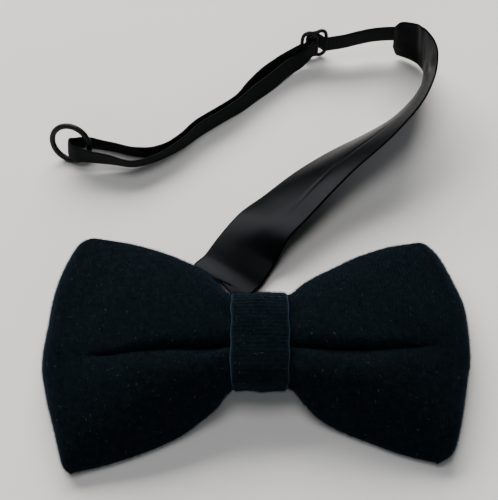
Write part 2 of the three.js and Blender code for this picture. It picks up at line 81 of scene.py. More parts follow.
# A smooth random field from about -1 to 1 over two coordinates, with lumps about size across.
def unevenness(a, b, size, seed):
    random = np.random.default_rng(seed)
    total = np.zeros(np.broadcast(a, b).shape)
    waves = 9
    for _ in range(waves):
        angle = random.uniform(0, 2 * math.pi)
        pitch = size * random.uniform(0.8, 2.2)
        shift = random.uniform(0, 2 * math.pi)
        along = a * math.cos(angle) + b * math.sin(angle)
        total = total + np.sin(2 * math.pi * along / pitch + shift)
    return total / math.sqrt(waves)


def unit(v):
    return v / np.maximum(np.linalg.norm(v, axis=-1, keepdims=True), 1e-9)


def gridNormals(grid):
    along = np.gradient(grid, axis=0)
    across = np.gradient(grid, axis=1)
    return unit(np.cross(along, across))


def smoothstep(low, high, x):
    u = np.clip((np.asarray(x, float) - low) / (high - low), 0, 1)
    return u * u * (3 - 2 * u)


# Points at an even spacing along a smooth curve through the given ones.
def splineThrough(points, spacing):
    p = np.asarray(points, float)
    p = np.concatenate([2 * p[:1] - p[1:2], p, 2 * p[-1:] - p[-2:-1]])
    fine = []
    for i in range(1, len(p) - 2):
        u = np.linspace(0, 1, 24, endpoint=False)[:, None]
        a, b, c, d = p[i - 1], p[i], p[i + 1], p[i + 2]
        fine.append(0.5 * (2 * b + (c - a) * u + (2 * a - 5 * b + 4 * c - d) * u ** 2
                           + (3 * b - a - 3 * c + d) * u ** 3))
    fine = np.concatenate([*fine, p[-2:-1]])
    length = np.concatenate([[0], np.cumsum(np.linalg.norm(np.diff(fine[:, :3], axis=0), axis=1))])
    count = max(2, round(length[-1] / spacing) + 1)
    at = np.linspace(0, length[-1], count)
    return np.stack([np.interp(at, length, fine[:, k]) for k in range(p.shape[1])], 1), at


# Meshes

# A closed mesh from rings of points, each ring closed. Its UV map is in millimetres.
def ringsObject(name, rings, material, closedAlong=False, outer=None):
    rows, columns = rings.shape[:2]
    rowCount = rows if closedAlong else rows - 1
    i = np.arange(rowCount)[:, None]
    j = np.arange(columns)[None, :]
    nextRow, nextColumn = (i + 1) % rows, (j + 1) % columns
    corners = np.stack([
        i * columns + j, i * columns + nextColumn, nextRow * columns + nextColumn, nextRow * columns + j,
    ], -1)
    faces = corners.reshape(-1, 4)
    stepAlong = np.linalg.norm(np.roll(rings, -1, 0) - rings, axis=2).mean(1)
    stepAround = np.linalg.norm(np.roll(rings, -1, 1) - rings, axis=2).mean(0)
    u = np.concatenate([[0], np.cumsum(stepAlong)])
    v = np.concatenate([[0], np.cumsum(stepAround)])
    i, j = np.broadcast_arrays(i, j)
    uv = np.stack([
        np.stack([u[i], v[j]], -1), np.stack([u[i], v[j + 1]], -1),
        np.stack([u[i + 1], v[j + 1]], -1), np.stack([u[i + 1], v[j]], -1),
    ], 2).reshape(-1, 2)
    loopTotal = np.full(len(faces), 4)
    loops = faces.reshape(-1)
    if not closedAlong:
        first = np.arange(columns)[::-1]
        last = (rows - 1) * columns + np.arange(columns)
        loops = np.concatenate([loops, first, last])
        loopTotal = np.concatenate([loopTotal, [columns, columns]])
        uv = np.concatenate([uv, np.zeros((2 * columns, 2))])
    points = (rings.reshape(-1, 3) + bowOrigin) / 1000

    flat = points[faces]
    normal = np.cross(flat[:, 1] - flat[:, 0], flat[:, 2] - flat[:, 0])
    if (flat[:, 0] * normal).sum() < 0:
        starts = np.concatenate([[0], np.cumsum(loopTotal)[:-1]])
        order = np.concatenate([np.arange(s, s + n)[::-1] for s, n in zip(starts, loopTotal)])
        loops, uv = loops[order], uv[order]

    mesh = bpy.data.meshes.new(name)
    mesh.vertices.add(len(points))
    mesh.vertices.foreach_set("co", points.astype(np.float32).ravel())
    mesh.loops.add(len(loops))
    mesh.loops.foreach_set("vertex_index", loops.astype(np.int32))
    mesh.polygons.add(len(loopTotal))
    starts = np.concatenate([[0], np.cumsum(loopTotal)[:-1]])
    mesh.polygons.foreach_set("loop_start", starts.astype(np.int32))
    mesh.polygons.foreach_set("use_smooth", np.ones(len(loopTotal), bool))
    mesh.update(calc_edges=True)
    mesh.uv_layers.new(name="millimetres").data.foreach_set("uv", uv.astype(np.float32).ravel())
    if outer is not None:
        mesh.attributes.new("outer", "FLOAT", "POINT").data.foreach_set(
            "value", np.broadcast_to(outer, rings.shape[:2]).astype(np.float32).ravel())
    mesh.materials.append(material)
    made = bpy.data.objects.new(name, mesh)
    bpy.context.scene.collection.objects.link(made)
    return made


# Rings round a layer of cloth: its outside, a rounded border, its inside and the other border.
def clothRings(outside, wall, borderSteps, relief=None):
    normals = gridNormals(outside)
    wall = np.broadcast_to(wall, outside.shape[:2])[..., None]
    inside = outside - normals * wall
    firstOut = unit(outside[:, 0] - outside[:, 1])
    lastOut = unit(outside[:, -1] - outside[:, -2])
    angles = np.pi * np.arange(1, borderSteps + 1) / (borderSteps + 1)

    def border(column, outward):
        middle = (outside[:, column] + inside[:, column]) / 2
        return np.stack([
            middle + (math.cos(a) * normals[:, column] + math.sin(a) * outward) * wall[:, column] / 2
            for a in angles
        ], 1)

    if relief is not None:
        outside = outside + normals * relief[..., None]
    rings = np.concatenate([
        outside, border(-1, lastOut), inside[:, ::-1], border(0, firstOut)[:, ::-1],
    ], 1)
    count = outside.shape[1]
    outer = np.zeros(rings.shape[1])
    outer[:count] = 1
    return rings, outer


# Rings of a round wire along a closed path that lies in one plane.
def tubeRings(path, radius, sides):
    along = unit(np.roll(path, -1, 0) - np.roll(path, 1, 0))
    middle = path.mean(0)
    flat = unit(np.cross(path[0] - middle, path[len(path) // 4] - middle))
    side = unit(np.cross(np.broadcast_to(flat, along.shape), along))
    angle = 2 * math.pi * np.arange(sides) / sides
    return (path[:, None] + radius * (np.cos(angle)[None, :, None] * side[:, None]
                                      + np.sin(angle)[None, :, None] * flat[None, None]))


# Prints a piece's flat size as cloth and its area, measured over the middle of its thickness, given in
# millimetres.
def declareCloth(piece, middle):
    along, across = np.diff(middle, axis=0), np.diff(middle, axis=1)
    length = np.linalg.norm(along, axis=2).sum(0).max() / 1000
    width = np.linalg.norm(across, axis=2).sum(1).max() / 1000
    cells = np.cross(middle[1:, 1:] - middle[:-1, :-1], middle[1:, :-1] - middle[:-1, 1:])
    area = np.linalg.norm(cells, axis=2).sum() / 2 / 1e6
    area = min(area, width * length)
    print(piece.name, "flat", round(width, 4), round(length, 4), "area", round(area, 6))


# Materials

def linear(hexColour):
    values = [int(hexColour[i:i + 2], 16) / 255 for i in (1, 3, 5)]
    return [v / 12.92 if v <= 0.04045 else ((v + 0.055) / 1.055) ** 2.4 for v in values] + [1.0]


# Adds a node. Each input is a value, or a socket to link from.
def addNode(tree, kind, inputs=None, **settings):
    node = tree.nodes.new(kind)
    for key, value in settings.items():
        setattr(node, key, value)
    for key, value in (inputs or {}).items():
        if isinstance(value, bpy.types.NodeSocket):
            tree.links.new(value, node.inputs[key])
        else:
            node.inputs[key].default_value = value
    return node


def newMaterial(name):
    material = bpy.data.materials.new(name)
    material.use_nodes = True
    tree = material.node_tree
    tree.nodes.clear()
    output = addNode(tree, "ShaderNodeOutputMaterial")
    shader = addNode(tree, "ShaderNodeBsdfPrincipled")
    tree.links.new(shader.outputs["BSDF"], output.inputs["Surface"])
    return material, tree, shader


velvetLook = {
    "deep": "#040709",
    "raised": "#0c161b",
    "sheen": "#4c6c88",
    "sheenWeight": 0.42,
    "wornSheenWeight": 0.85,
    "sheenRoughness": 0.4,
    "pileSize": 0.35,
    "pileDepth": 0.00012,
    "mottleSize": 1.6,
    "mottleRange": (0.16, 0.36),
    "roughness": 1.0,
    "specular": 0.04,
}


# Cotton velvet, dyed navy, its cut pile brushed and left unpressed.
def makeVelvet(name, sheenWeight):
    material, tree, shader = newMaterial(name)
    place = addNode(tree, "ShaderNodeTexCoord").outputs["Object"]
    mottle = addNode(tree, "ShaderNodeTexNoise", {
        "Vector": place, "Scale": 1000 / velvetLook["mottleSize"], "Detail": 4.0, "Roughness": 0.65,
    })
    pile = addNode(tree, "ShaderNodeTexNoise", {
        "Vector": place, "Scale": 1000 / velvetLook["pileSize"], "Detail": 3.0, "Roughness": 0.7,
    })
    both = addNode(tree, "ShaderNodeMath", {0: mottle.outputs["Fac"], 1: pile.outputs["Fac"]},
                   operation="MULTIPLY")
    spread = addNode(tree, "ShaderNodeMapRange", {
        "Value": both.outputs[0],
        "From Min": velvetLook["mottleRange"][0],
        "From Max": velvetLook["mottleRange"][1],
    })
    colour = addNode(tree, "ShaderNodeMix", {
        "Factor": spread.outputs["Result"],
        "A": linear(velvetLook["deep"]),
        "B": linear(velvetLook["raised"]),
    }, data_type="RGBA")
    bump = addNode(tree, "ShaderNodeBump", {
        "Height": pile.outputs["Fac"], "Strength": 1.0, "Distance": velvetLook["pileDepth"],
    })
    tree.links.new(colour.outputs["Result"], shader.inputs["Base Color"])
    tree.links.new(bump.outputs["Normal"], shader.inputs["Normal"])
    shader.inputs["Roughness"].default_value = velvetLook["roughness"]
    shader.inputs["Specular IOR Level"].default_value = velvetLook["specular"]
    shader.inputs["Sheen Weight"].default_value = sheenWeight
    shader.inputs["Sheen Roughness"].default_value = velvetLook["sheenRoughness"]
    shader.inputs["Sheen Tint"].default_value = linear(velvetLook["sheen"])
    return material


# Width of one band of a wave texture at scale 1.
waveBand = 0.314

satinLook = {
    "colour": "#060708",
    "reflection": "#e0eeff",
    "roughness": 0.27,
    "specular": 0.03,
    "anisotropy": 0.4,
    "yarnSize": 0.16,
    "yarnDepth": 0.000003,
    "slubSize": 3.0,
    "slubDepth": 0.00003,
}


# Black acetate satin, calendered so that its floats lie flat.
def makeSatin():
    material, tree, shader = newMaterial("black_acetate_satin_calendered")
    uv = addNode(tree, "ShaderNodeUVMap", uv_map="millimetres").outputs["UV"]
    yarn = addNode(tree, "ShaderNodeTexWave", {
        "Vector": uv, "Scale": waveBand / satinLook["yarnSize"], "Distortion": 1.2, "Detail": 2.0,
    }, wave_type="BANDS", bands_direction="Y")
    stretched = addNode(tree, "ShaderNodeMapping", {"Vector": uv, "Scale": (0.25, 1.0, 1.0)})
    slub = addNode(tree, "ShaderNodeTexNoise", {
        "Vector": stretched.outputs["Vector"], "Scale": 1 / satinLook["slubSize"], "Detail": 5.0,
    })
    first = addNode(tree, "ShaderNodeBump", {
        "Height": slub.outputs["Fac"], "Distance": satinLook["slubDepth"],
    })
    second = addNode(tree, "ShaderNodeBump", {
        "Height": yarn.outputs["Fac"],
        "Distance": satinLook["yarnDepth"],
        "Normal": first.outputs["Normal"],
    })
    tree.links.new(second.outputs["Normal"], shader.inputs["Normal"])
    shader.inputs["Base Color"].default_value = linear(satinLook["colour"])
    shader.inputs["Roughness"].default_value = satinLook["roughness"]
    shader.inputs["Specular IOR Level"].default_value = satinLook["specular"]
    shader.inputs["Specular Tint"].default_value = linear(satinLook["reflection"])
    shader.inputs["Anisotropic"].default_value = satinLook["anisotropy"]
    return material


elasticLook = {
    "dark": "#050706",
    "light": "#121615",
    "yarnSize": 0.22,
    "yarnDepth": 0.00006,
    "roughness": 0.8,
    "specular": 0.08,
    "sheenWeight": 0.03,
}


# Woven elastic, black polyester over rubber threads, unwashed.
def makeElastic():
    material, tree, shader = newMaterial("black_elastic_woven")
    uv = addNode(tree, "ShaderNodeUVMap", uv_map="millimetres").outputs["UV"]
    yarn = addNode(tree, "ShaderNodeTexNoise", {
        "Vector": uv, "Scale": 1 / elasticLook["yarnSize"], "Detail": 3.0,
    })
    colour = addNode(tree, "ShaderNodeMix", {
        "Factor": yarn.outputs["Fac"],
        "A": linear(elasticLook["dark"]),
        "B": linear(elasticLook["light"]),
    }, data_type="RGBA")
    bump = addNode(tree, "ShaderNodeBump", {
        "Height": yarn.outputs["Fac"], "Distance": elasticLook["yarnDepth"],
    })
    tree.links.new(colour.outputs["Result"], shader.inputs["Base Color"])
    tree.links.new(bump.outputs["Normal"], shader.inputs["Normal"])
    shader.inputs["Roughness"].default_value = elasticLook["roughness"]
    shader.inputs["Specular IOR Level"].default_value = elasticLook["specular"]
    shader.inputs["Sheen Weight"].default_value = elasticLook["sheenWeight"]
    return material


wireLook = {"colour": "#080809", "smooth": 0.42, "rough": 0.6, "specular": 0.2, "wearScale": 900.0}


# Steel wire, dipped in black enamel and stoved.
def makeWire():
    material, tree, shader = newMaterial("black_enamelled_steel_wire")
    place = addNode(tree, "ShaderNodeTexCoord").outputs["Object"]
    wear = addNode(tree, "ShaderNodeTexNoise", {
        "Vector": place, "Scale": wireLook["wearScale"], "Detail": 3.0,
    })
    rough = addNode(tree, "ShaderNodeMapRange", {
        "Value": wear.outputs["Fac"], "To Min": wireLook["smooth"], "To Max": wireLook["rough"],
    })
    tree.links.new(rough.outputs["Result"], shader.inputs["Roughness"])
    shader.inputs["Base Color"].default_value = linear(wireLook["colour"])
    shader.inputs["Specular IOR Level"].default_value = wireLook["specular"]
    return material


# Loose cotton fibre caught in the pile, undyed.
def makeLint():
    material, tree, shader = newMaterial("pale_cotton_lint_loose")
    shader.inputs["Base Color"].default_value = linear("#5d6a72")
    shader.inputs["Roughness"].default_value = 0.9
    return material


wingVelvet = makeVelvet("navy_cotton_velvet_brushed", velvetLook["sheenWeight"])
knotVelvet = makeVelvet("navy_cotton_velvet_worn", velvetLook["wornSheenWeight"])
satinCloth = makeSatin()
elasticCloth = makeElastic()
blackWire = makeWire()
lintFibre = makeLint()
print("materials made")


# Floor

floorLook = {"colour": "#e9e7e5", "roughness": 0.9, "specular": 0.1, "size": 4.0}


def makeFloor():
    material, tree, shader = newMaterial("pale_studio_floor")
    shader.inputs["Base Color"].default_value = linear(floorLook["colour"])
    shader.inputs["Roughness"].default_value = floorLook["roughness"]
    shader.inputs["Specular IOR Level"].default_value = floorLook["specular"]
    half = floorLook["size"] / 2
    mesh = bpy.data.meshes.new("floor")
    corners = [(-half, -half, 0), (half, -half, 0), (half, half, 0), (-half, half, 0)]
    mesh.from_pydata(corners, [], [(0, 1, 2, 3)])
    mesh.materials.append(material)
    floor = bpy.data.objects.new("floor", mesh)
    bpy.context.scene.collection.objects.link(floor)


makeFloor()


# Wings

sectionColumns = ("out", "far", "near", "peak", "farZ", "nearZ", "dip", "mid", "back")
leftSections = {"columns": sectionColumns, "rows": [
    (0.35, 10.6, -10.6, 14.7, 11.6, 11.4, 1.3, -2.08, 7.9),
    (7.2, 10.7, -10.7, 14.7, 11.6, 11.4, 1.4, -2.35, 7.8),
    (7.8, 14.6, -14.4, 15.4, 11.2, 9.6, 1.8, -2.72, 6.9),
    (9.4, 15.6, -15.6, 16, 11, 8.9, 2, -2.96, 6.2),
    (12, 19, -18.29, 17, 10.2, 6.75, 2.6, -3.67, 4.2),
    (16.5, 23.7, -21.08, 17.8, 9.4, 3.97, 3, -4.34, 2),
    (23, 27.7, -25, 18, 8.6, 2.1, 2.8, -4.4, 0.5),
    (32, 31.6, -29, 17.2, 8, 1.7, 2.3, -4.76, 0),
    (43, 34.8, -32.7, 14.6, 7.6, 1.8, 1.2, -5.62, 0),
    (55.8, 37, -35.8, 10.2, 7.2, 2.7, 0.2, -4.74, 0),
]}
rightSections = {"columns": sectionColumns, "rows": [
    (0.35, 10.6, -10.6, 14.7, 11.6, 11.4, 1.3, -2.08, 7.9),
    (7.2, 10.7, -10.7, 14.7, 11.6, 11.4, 1.4, -2.35, 7.8),
    (7.8, 14.4, -13.6, 15.4, 11.2, 9.6, 1.8, -2.72, 6.9),
    (9.4, 15.2, -14.2, 16, 11, 8.9, 2, -2.96, 6.2),
    (12, 18.1, -16.49, 17, 10.2, 6.75, 2.5, -3.6, 4.2),
    (16.5, 21.5, -20.08, 17.6, 9.4, 3.97, 2.9, -4.17, 2),
    (23, 25.3, -23.1, 17.8, 8.6, 2.1, 2.9, -4.77, 0.5),
    (32, 29.8, -26.5, 17, 8, 1.7, 2.5, -4.3, 0),
    (43, 33.4, -30.2, 14.4, 7.6, 1.8, 1.4, -2.75, 0),
    (54.6, 35.4, -32.8, 10, 7.2, 2.7, 0.25, -1.37, 0),
]}
foldColumns = ("across", "out")
leftFold = {"columns": foldColumns, "rows": [
    (-1, 52.3), (-0.98, 53.0), (-0.95, 53.4), (-0.9, 53.8), (-0.62, 56.2), (-0.3, 58.9), (0, 60.5),
    (0.35, 59.8), (0.7, 57.6), (0.9, 54.9), (0.97, 53.4), (1, 52.0),
]}
rightFold = {"columns": foldColumns, "rows": [
    (-1, 49.4), (-0.98, 51.2), (-0.95, 52.1), (-0.9, 52.9), (-0.62, 55.1), (-0.3, 57.2), (0, 58.9),
    (0.35, 58.8), (0.7, 55.4), (0.9, 52.6), (1, 50.0),
]}

# lipScale brings the top of lip * exp(-lip) up to about 1. The crease's fall and steepening are powers.
wingShape = {
    "wall": 1.8,
    "domePower": 2.4,
    "domeBend": 0.62,
    "creaseBelow": 8.5,
    "creaseAbove": 4.2,
    "creaseEnds": (40, 52),
    "lipOverhang": 1.0,
    "lipWidth": 1.5,
    "slitDepth": 1.4,
    "slitWidth": 0.7,
    "creaseSoftness": 0.15,
    "creaseSoftening": 3.5,
    "creaseRounding": 0.6,
    "creaseTurn": 0.8,
    "creaseFall": 2,
    "creaseSteepening": 1.4,
    "fullDip": 2,
    "lipScale": 2.7,
    "ribPitch": 1.05,
    "ribHeight": 0.055,
    "lumpSize": 13.0,
    "lumpHeight": 0.16,
    "gatherHeight": 0.3,
    "gatherStart": 7,
    "gatherPlace": 8.3,
    "gatherReach": 7.0,
    "gatherTurns": 13,
    "wornSize": 5.0,
    "halfColumns": 34,
    "bunching": 0.75,
    "curlColumns": 9,
    "curlShare": 0.7,
    "curlWall": 0.4,
    "curlTaper": 16,
    "backDrop": 0.3,
    "dropEase": 1.5,
    "backInset": 4.4,
    "insetEase": 1.2,
    "ribbedFold": 0.8,
    "rest": 0.35,
    "shownFrom": 6.8,
    "hiddenRows": 10,
    "frontRows": 300,
    "foldRows": 60,
    "backRows": 50,
    "borderSteps": 4,
}


# One layer of velvet over the front, round the outer fold and back, its near border turned under.
def makeWing(node, name, side, sections, fold, seed):
    shape = wingShape
    end = dict(zip(sectionColumns, sections["rows"][-1]))
    half = shape["halfColumns"]
    even = np.abs(np.arange(-half, half + 1)) / half
    places = np.sign(np.arange(-half, half + 1)) * (
        even - shape["bunching"] * np.sin(2 * math.pi * even) / (2 * math.pi))

    def dome(across):
        return (1 - np.abs(across) ** shape["domePower"]) ** shape["domeBend"]

    def foldHeight(across):
        edge = end["nearZ"] + (end["farZ"] - end["nearZ"]) * (across + 1) / 2
        return edge + (end["peak"] - edge) * dome(across)

    def section(out, across, inset, overhang=shape["lipOverhang"]):
        mid = readColumn(sections, "mid", out)
        nearZ, farZ = readColumn(sections, "nearZ", out), readColumn(sections, "farZ", out)
        near = readColumn(sections, "near", out) + inset
        edgeY = np.where(across > 0, readColumn(sections, "far", out), near)
        y = mid + (edgeY - mid) * np.abs(across)
        edge = nearZ + (farZ - nearZ) * (across + 1) / 2
        dip = readColumn(sections, "dip", out)
        fading = smoothstep(*shape["creaseEnds"], out)
        softness = shape["creaseSoftness"] + shape["creaseSoftening"] * fading
        away = y - mid
        fromCrease = np.sqrt(away ** 2 + softness ** 2) - softness * shape["creaseRounding"]
        above = 0.5 + 0.5 * np.tanh(away / shape["creaseTurn"])
        reach = shape["creaseBelow"] + (shape["creaseAbove"] - shape["creaseBelow"]) * above
        fall = shape["creaseFall"] + shape["creaseSteepening"] * above * (1 - fading)
        sink = dip * (1 - np.minimum(1, fromCrease / reach)) ** fall
        strength = np.clip(dip / shape["fullDip"], 0, 1) * (1 - fading)
        slit = shape["slitDepth"] * strength * np.exp(-(away / shape["slitWidth"]) ** 2)
        top = edge + (readColumn(sections, "peak", out) - edge) * dome(across) - sink - slit
        lip = np.clip(away / shape["lipWidth"], 0, None)
        y = y - overhang * strength * shape["lipScale"] * lip * np.exp(-lip)
        pull = end["out"] - (readColumn(fold, "out", across) - foldHeight(across) / 2)
        x = out - pull * (out / end["out"]) ** 2
        lumps = unevenness(x, y, shape["lumpSize"], seed)
        fromGathers = (out - shape["gatherPlace"]) / shape["gatherReach"]
        nearKnot = np.exp(-fromGathers ** 2) * (out > shape["gatherStart"])
        gathers = nearKnot * np.sin(across * shape["gatherTurns"] + seed) * shape["gatherHeight"]
        top = top + (shape["lumpHeight"] * lumps + gathers) * dome(across)
        return x, y, top, readColumn(sections, "back", out)

    outs = np.concatenate([
        np.linspace(sections["rows"][0][0], shape["shownFrom"], shape["hiddenRows"], endpoint=False),
        np.linspace(shape["shownFrom"], end["out"], shape["frontRows"]),
    ])
    out, across = np.meshgrid(outs, places, indexing="ij")
    x, y, top, _ = section(out, across, 0)
    front = np.stack([x, y, top], -1)
    frontDrop = readColumn(sections, "nearZ", outs) - readColumn(sections, "back", outs) - shape["rest"]
    frontInward = np.tile([0.0, 0.0, -1.0], (len(outs), 1))

    turn = np.pi / 2 - np.pi * np.arange(1, shape["foldRows"]) / shape["foldRows"]
    angle, across = np.meshgrid(turn, places, indexing="ij")
    inset = shape["backInset"] * ((1 - np.sin(angle)) / 2) ** shape["insetEase"]
    x, y, top, _ = section(np.full_like(across, end["out"]), across, inset)
    turned = np.stack([x + top / 2 * np.cos(angle), y, top / 2 * (1 + np.sin(angle))], -1)
    ease = ((1 + np.sin(turn)) / 2) ** shape["dropEase"]
    turnedDrop = shape["backDrop"] + (frontDrop[-1] - shape["backDrop"]) * ease
    turnedInward = -np.stack([np.cos(turn), 0 * turn, np.sin(turn)], -1)

    outs = np.linspace(end["out"], sections["rows"][0][0], shape["backRows"])
    out, across = np.meshgrid(outs, places, indexing="ij")
    x, y, _, under = section(out, across, shape["backInset"], overhang=0)
    back = np.stack([x, y, under], -1)
    backDrop = np.full(len(outs), shape["backDrop"])
    backInward = np.tile([0.0, 0.0, 1.0], (len(outs), 1))

    grid = np.concatenate([front, turned, back])
    drop = np.concatenate([frontDrop, turnedDrop, backDrop])[:, None, None]
    inward = np.concatenate([frontInward, turnedInward, backInward])[:, None]
    phi = (np.pi / 2 * np.arange(shape["curlColumns"], 0, -1) / shape["curlColumns"])[None, :, None]
    curl = grid[:, :1] + drop * (
        inward * np.sin(phi) + np.array([0.0, shape["curlShare"], 0.0]) * (1 - np.cos(phi)))
    grid = np.concatenate([curl, grid], 1)
    grid[..., 0] *= side
    steps = np.linalg.norm(np.diff(grid, axis=0), axis=2)
    along = np.concatenate([[0], np.cumsum(steps.mean(1))])[:, None]
    rib = (0.5 + 0.5 * np.cos(2 * math.pi * along / shape["ribPitch"])) ** 1.5
    shown = np.ones(len(grid))
    shown[len(front) + round(len(turned) * shape["ribbedFold"]):] = 0
    worn = 0.75 + 0.25 * unevenness(grid[..., 0], grid[..., 1], shape["wornSize"], seed + 7)
    relief = side * shape["ribHeight"] * rib * worn * shown[:, None]
    column = np.arange(grid.shape[1]) - shape["curlColumns"]
    taper = smoothstep(0, shape["curlTaper"], column)
    wall = shape["curlWall"] + (shape["wall"] - shape["curlWall"]) * taper
    rings, outer = clothRings(grid, side * wall, shape["borderSteps"], relief)
    made = ringsObject(name, rings, wingVelvet, outer=outer * shown[:, None])
    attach(made, "root")
    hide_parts(node)
    middle = grid - side * gridNormals(grid) * wall[None, :, None] / 2
    declareCloth(made, middle)
    return made


wingLeft = makeWing("wing_left", "velvet_wing_left", -1, leftSections, leftFold, 11)
wingRight = makeWing("wing_right", "velvet_wing_right", 1, rightSections, rightFold, 23)
print("wings made")


# Knot

knotShape = {
    "halfLength": 14.4,
    "halfHeight": 6.5,
    "middleZ": 10.7,
    "width": 16.4,
    "endWidth": 15.2,
    "wall": 2.0,
    "crown": 0.5,
    "boxiness": 2.8,
    "ribPitch": 1.27,
    "ribHeight": 0.085,
    "waver": 0.22,
    "waverSize": 9.0,
    "wornSize": 4.0,
    "halfShown": 8,
    "borderWave": 0.12,
    "borderTurns": 0.8,
    "fineSteps": 6000,
    "rows": 440,
    "columns": 34,
    "borderSteps": 7,
}


def makeKnot():
    shape = knotShape
    fine = np.linspace(0, 2 * math.pi, shape["fineSteps"], endpoint=False)
    power = 2 / shape["boxiness"]
    c = np.sign(np.cos(fine)) * np.abs(np.cos(fine)) ** power
    s = np.sign(np.sin(fine)) * np.abs(np.sin(fine)) ** power
    loop = np.stack([shape["halfLength"] * c, shape["halfHeight"] * s], 1)
    loop = np.concatenate([loop, loop[:1]])
    length = np.concatenate([[0], np.cumsum(np.linalg.norm(np.diff(loop, axis=0), axis=1))])
    at = np.linspace(0, length[-1], shape["rows"], endpoint=False)
    loop = np.stack([np.interp(at, length, loop[:, k]) for k in (0, 1)], 1)
    tangent = unit(np.roll(loop, -1, 0) - np.roll(loop, 1, 0))
    outward = np.stack([tangent[:, 1], -tangent[:, 0]], 1)

    front = np.clip(loop[:, 1] / shape["halfHeight"], 0, 1) ** 0.5
    half = (shape["endWidth"] + (shape["width"] - shape["endWidth"]) * front) / 2
    half = half - shape["wall"] / 2 + shape["borderWave"] * np.sin(at * shape["borderTurns"]) * front
    across = np.linspace(-1, 1, shape["columns"])
    swell = shape["crown"] * front[:, None] * (1 - np.abs(across) ** 2.2)
    place = across * shape["halfShown"]
    swell = swell + shape["waver"] * unevenness(at[:, None], place, shape["waverSize"], 5)
    x = half[:, None] * across
    outside = np.stack([
        x,
        loop[:, :1] + outward[:, :1] * swell,
        loop[:, 1:] + outward[:, 1:] * swell,
    ], -1)
    outside[..., 1] += knotMiddleY
    outside[..., 2] += shape["middleZ"]
    count = round(length[-1] / shape["ribPitch"])
    rib = (0.5 + 0.5 * np.cos(2 * math.pi * count * at / length[-1])) ** 1.5
    worn = 0.75 + 0.25 * unevenness(at[:, None], place, shape["wornSize"], 3)
    closed = np.concatenate([outside[-2:], outside, outside[:2]])
    normals = gridNormals(closed)[2:-2]
    flip = 1 if (normals[..., 1:] * outward[:, None]).sum() > 0 else -1
    relief = flip * shape["ribHeight"] * rib[:, None] * worn
    reliefClosed = np.concatenate([relief[-2:], relief, relief[:2]])
    rings, outer = clothRings(closed, flip * shape["wall"], shape["borderSteps"], reliefClosed)
    made = ringsObject("velvet_knot_loop", rings[2:-2], knotVelvet, closedAlong=True, outer=outer)
    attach(made, "root")
    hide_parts("knot")
    middle = closed[2:-2] - flip * normals * shape["wall"] / 2
    middle = np.concatenate([middle, middle[:1]])
    declareCloth(made, middle)
    return made


knot = makeKnot()
print("knot made")


# Neck band

bandWidth = 20.5
bandColumns = ("x", "y", "z", "heading", "tilt", "width", "arch")
bandSections = countedTable(bandColumns, [
    (-6.0, 8.0, 3.2, 80, 0, 11.0, 0),
    (-6.4, 13.6, 3.0, 75, 0, 11.4, 0),
    (-8.4, 20.2, 2.8, 65, 0, 12.6, 0.1),
    (-13.0, 26.6, 2.2, 59, 1, 16.4, 0.2),
    (-19.5, 30.7, 1.9, 57, 1, bandWidth, 0.3),
    (-16.1, 35.7, 0.8, 57, 2, bandWidth, 0.4),
    (-12.9, 40.8, 1.1, 57, 4, bandWidth, 0.5),
    (-6.3, 49.6, 1.7, 48, 14, bandWidth, 0.6),
    (2.2, 57.8, 0.8, 43, 22, bandWidth, 0.7),
    (12.3, 67.1, 0.8, 40, 29, bandWidth, 0.9),
    (22.5, 74.6, 0.8, 31, 36, bandWidth, 1.0),
    (32.8, 80.8, 0.8, 33, 46, bandWidth, 0.9),
    (38.1, 84.3, 0.8, 37, 52, bandWidth, 0.7),
    (43.5, 88.6, 0.8, 43, 59, bandWidth, 0.5),
    (50.1, 96.0, 0.7, 56, 72, bandWidth, 0.3),
    (53.3, 102.2, 0.7, 71, 83, bandWidth, 0),
    (54.3, 107.3, 0.7, 98, 93, bandWidth, 0),
    (53.0, 110.7, 0.7, 126, 96, 20.2, 0),
    (50.4, 113.0, 0.7, 147, 96, 19.4, 0),
    (46.1, 115.0, 0.8, 157, 95, 17.2, 0),
    (44.5, 115.7, 4.0, 157, 95, 11.0, 0),
])
bandShape = {
    "thickness": 0.45,
    "rowsPerSection": 20,
    "columns": 40,
    "borderSteps": 6,
    "creaseDepth": 0.16,
    "creaseWidth": 0.35,
    "creasePlace": 0.62,
    "creaseDrift": 0.03,
    "creaseRow": 9.5,
    "creaseStarts": (7.2, 8.0),
    "creaseStops": (11.2, 12.2),
    "rippleHeight": 0.07,
    "rippleSize": 9.0,
    "rippleRow": 6,
    "rippleAcross": 20,
    "rippleStarts": (5, 7),
}


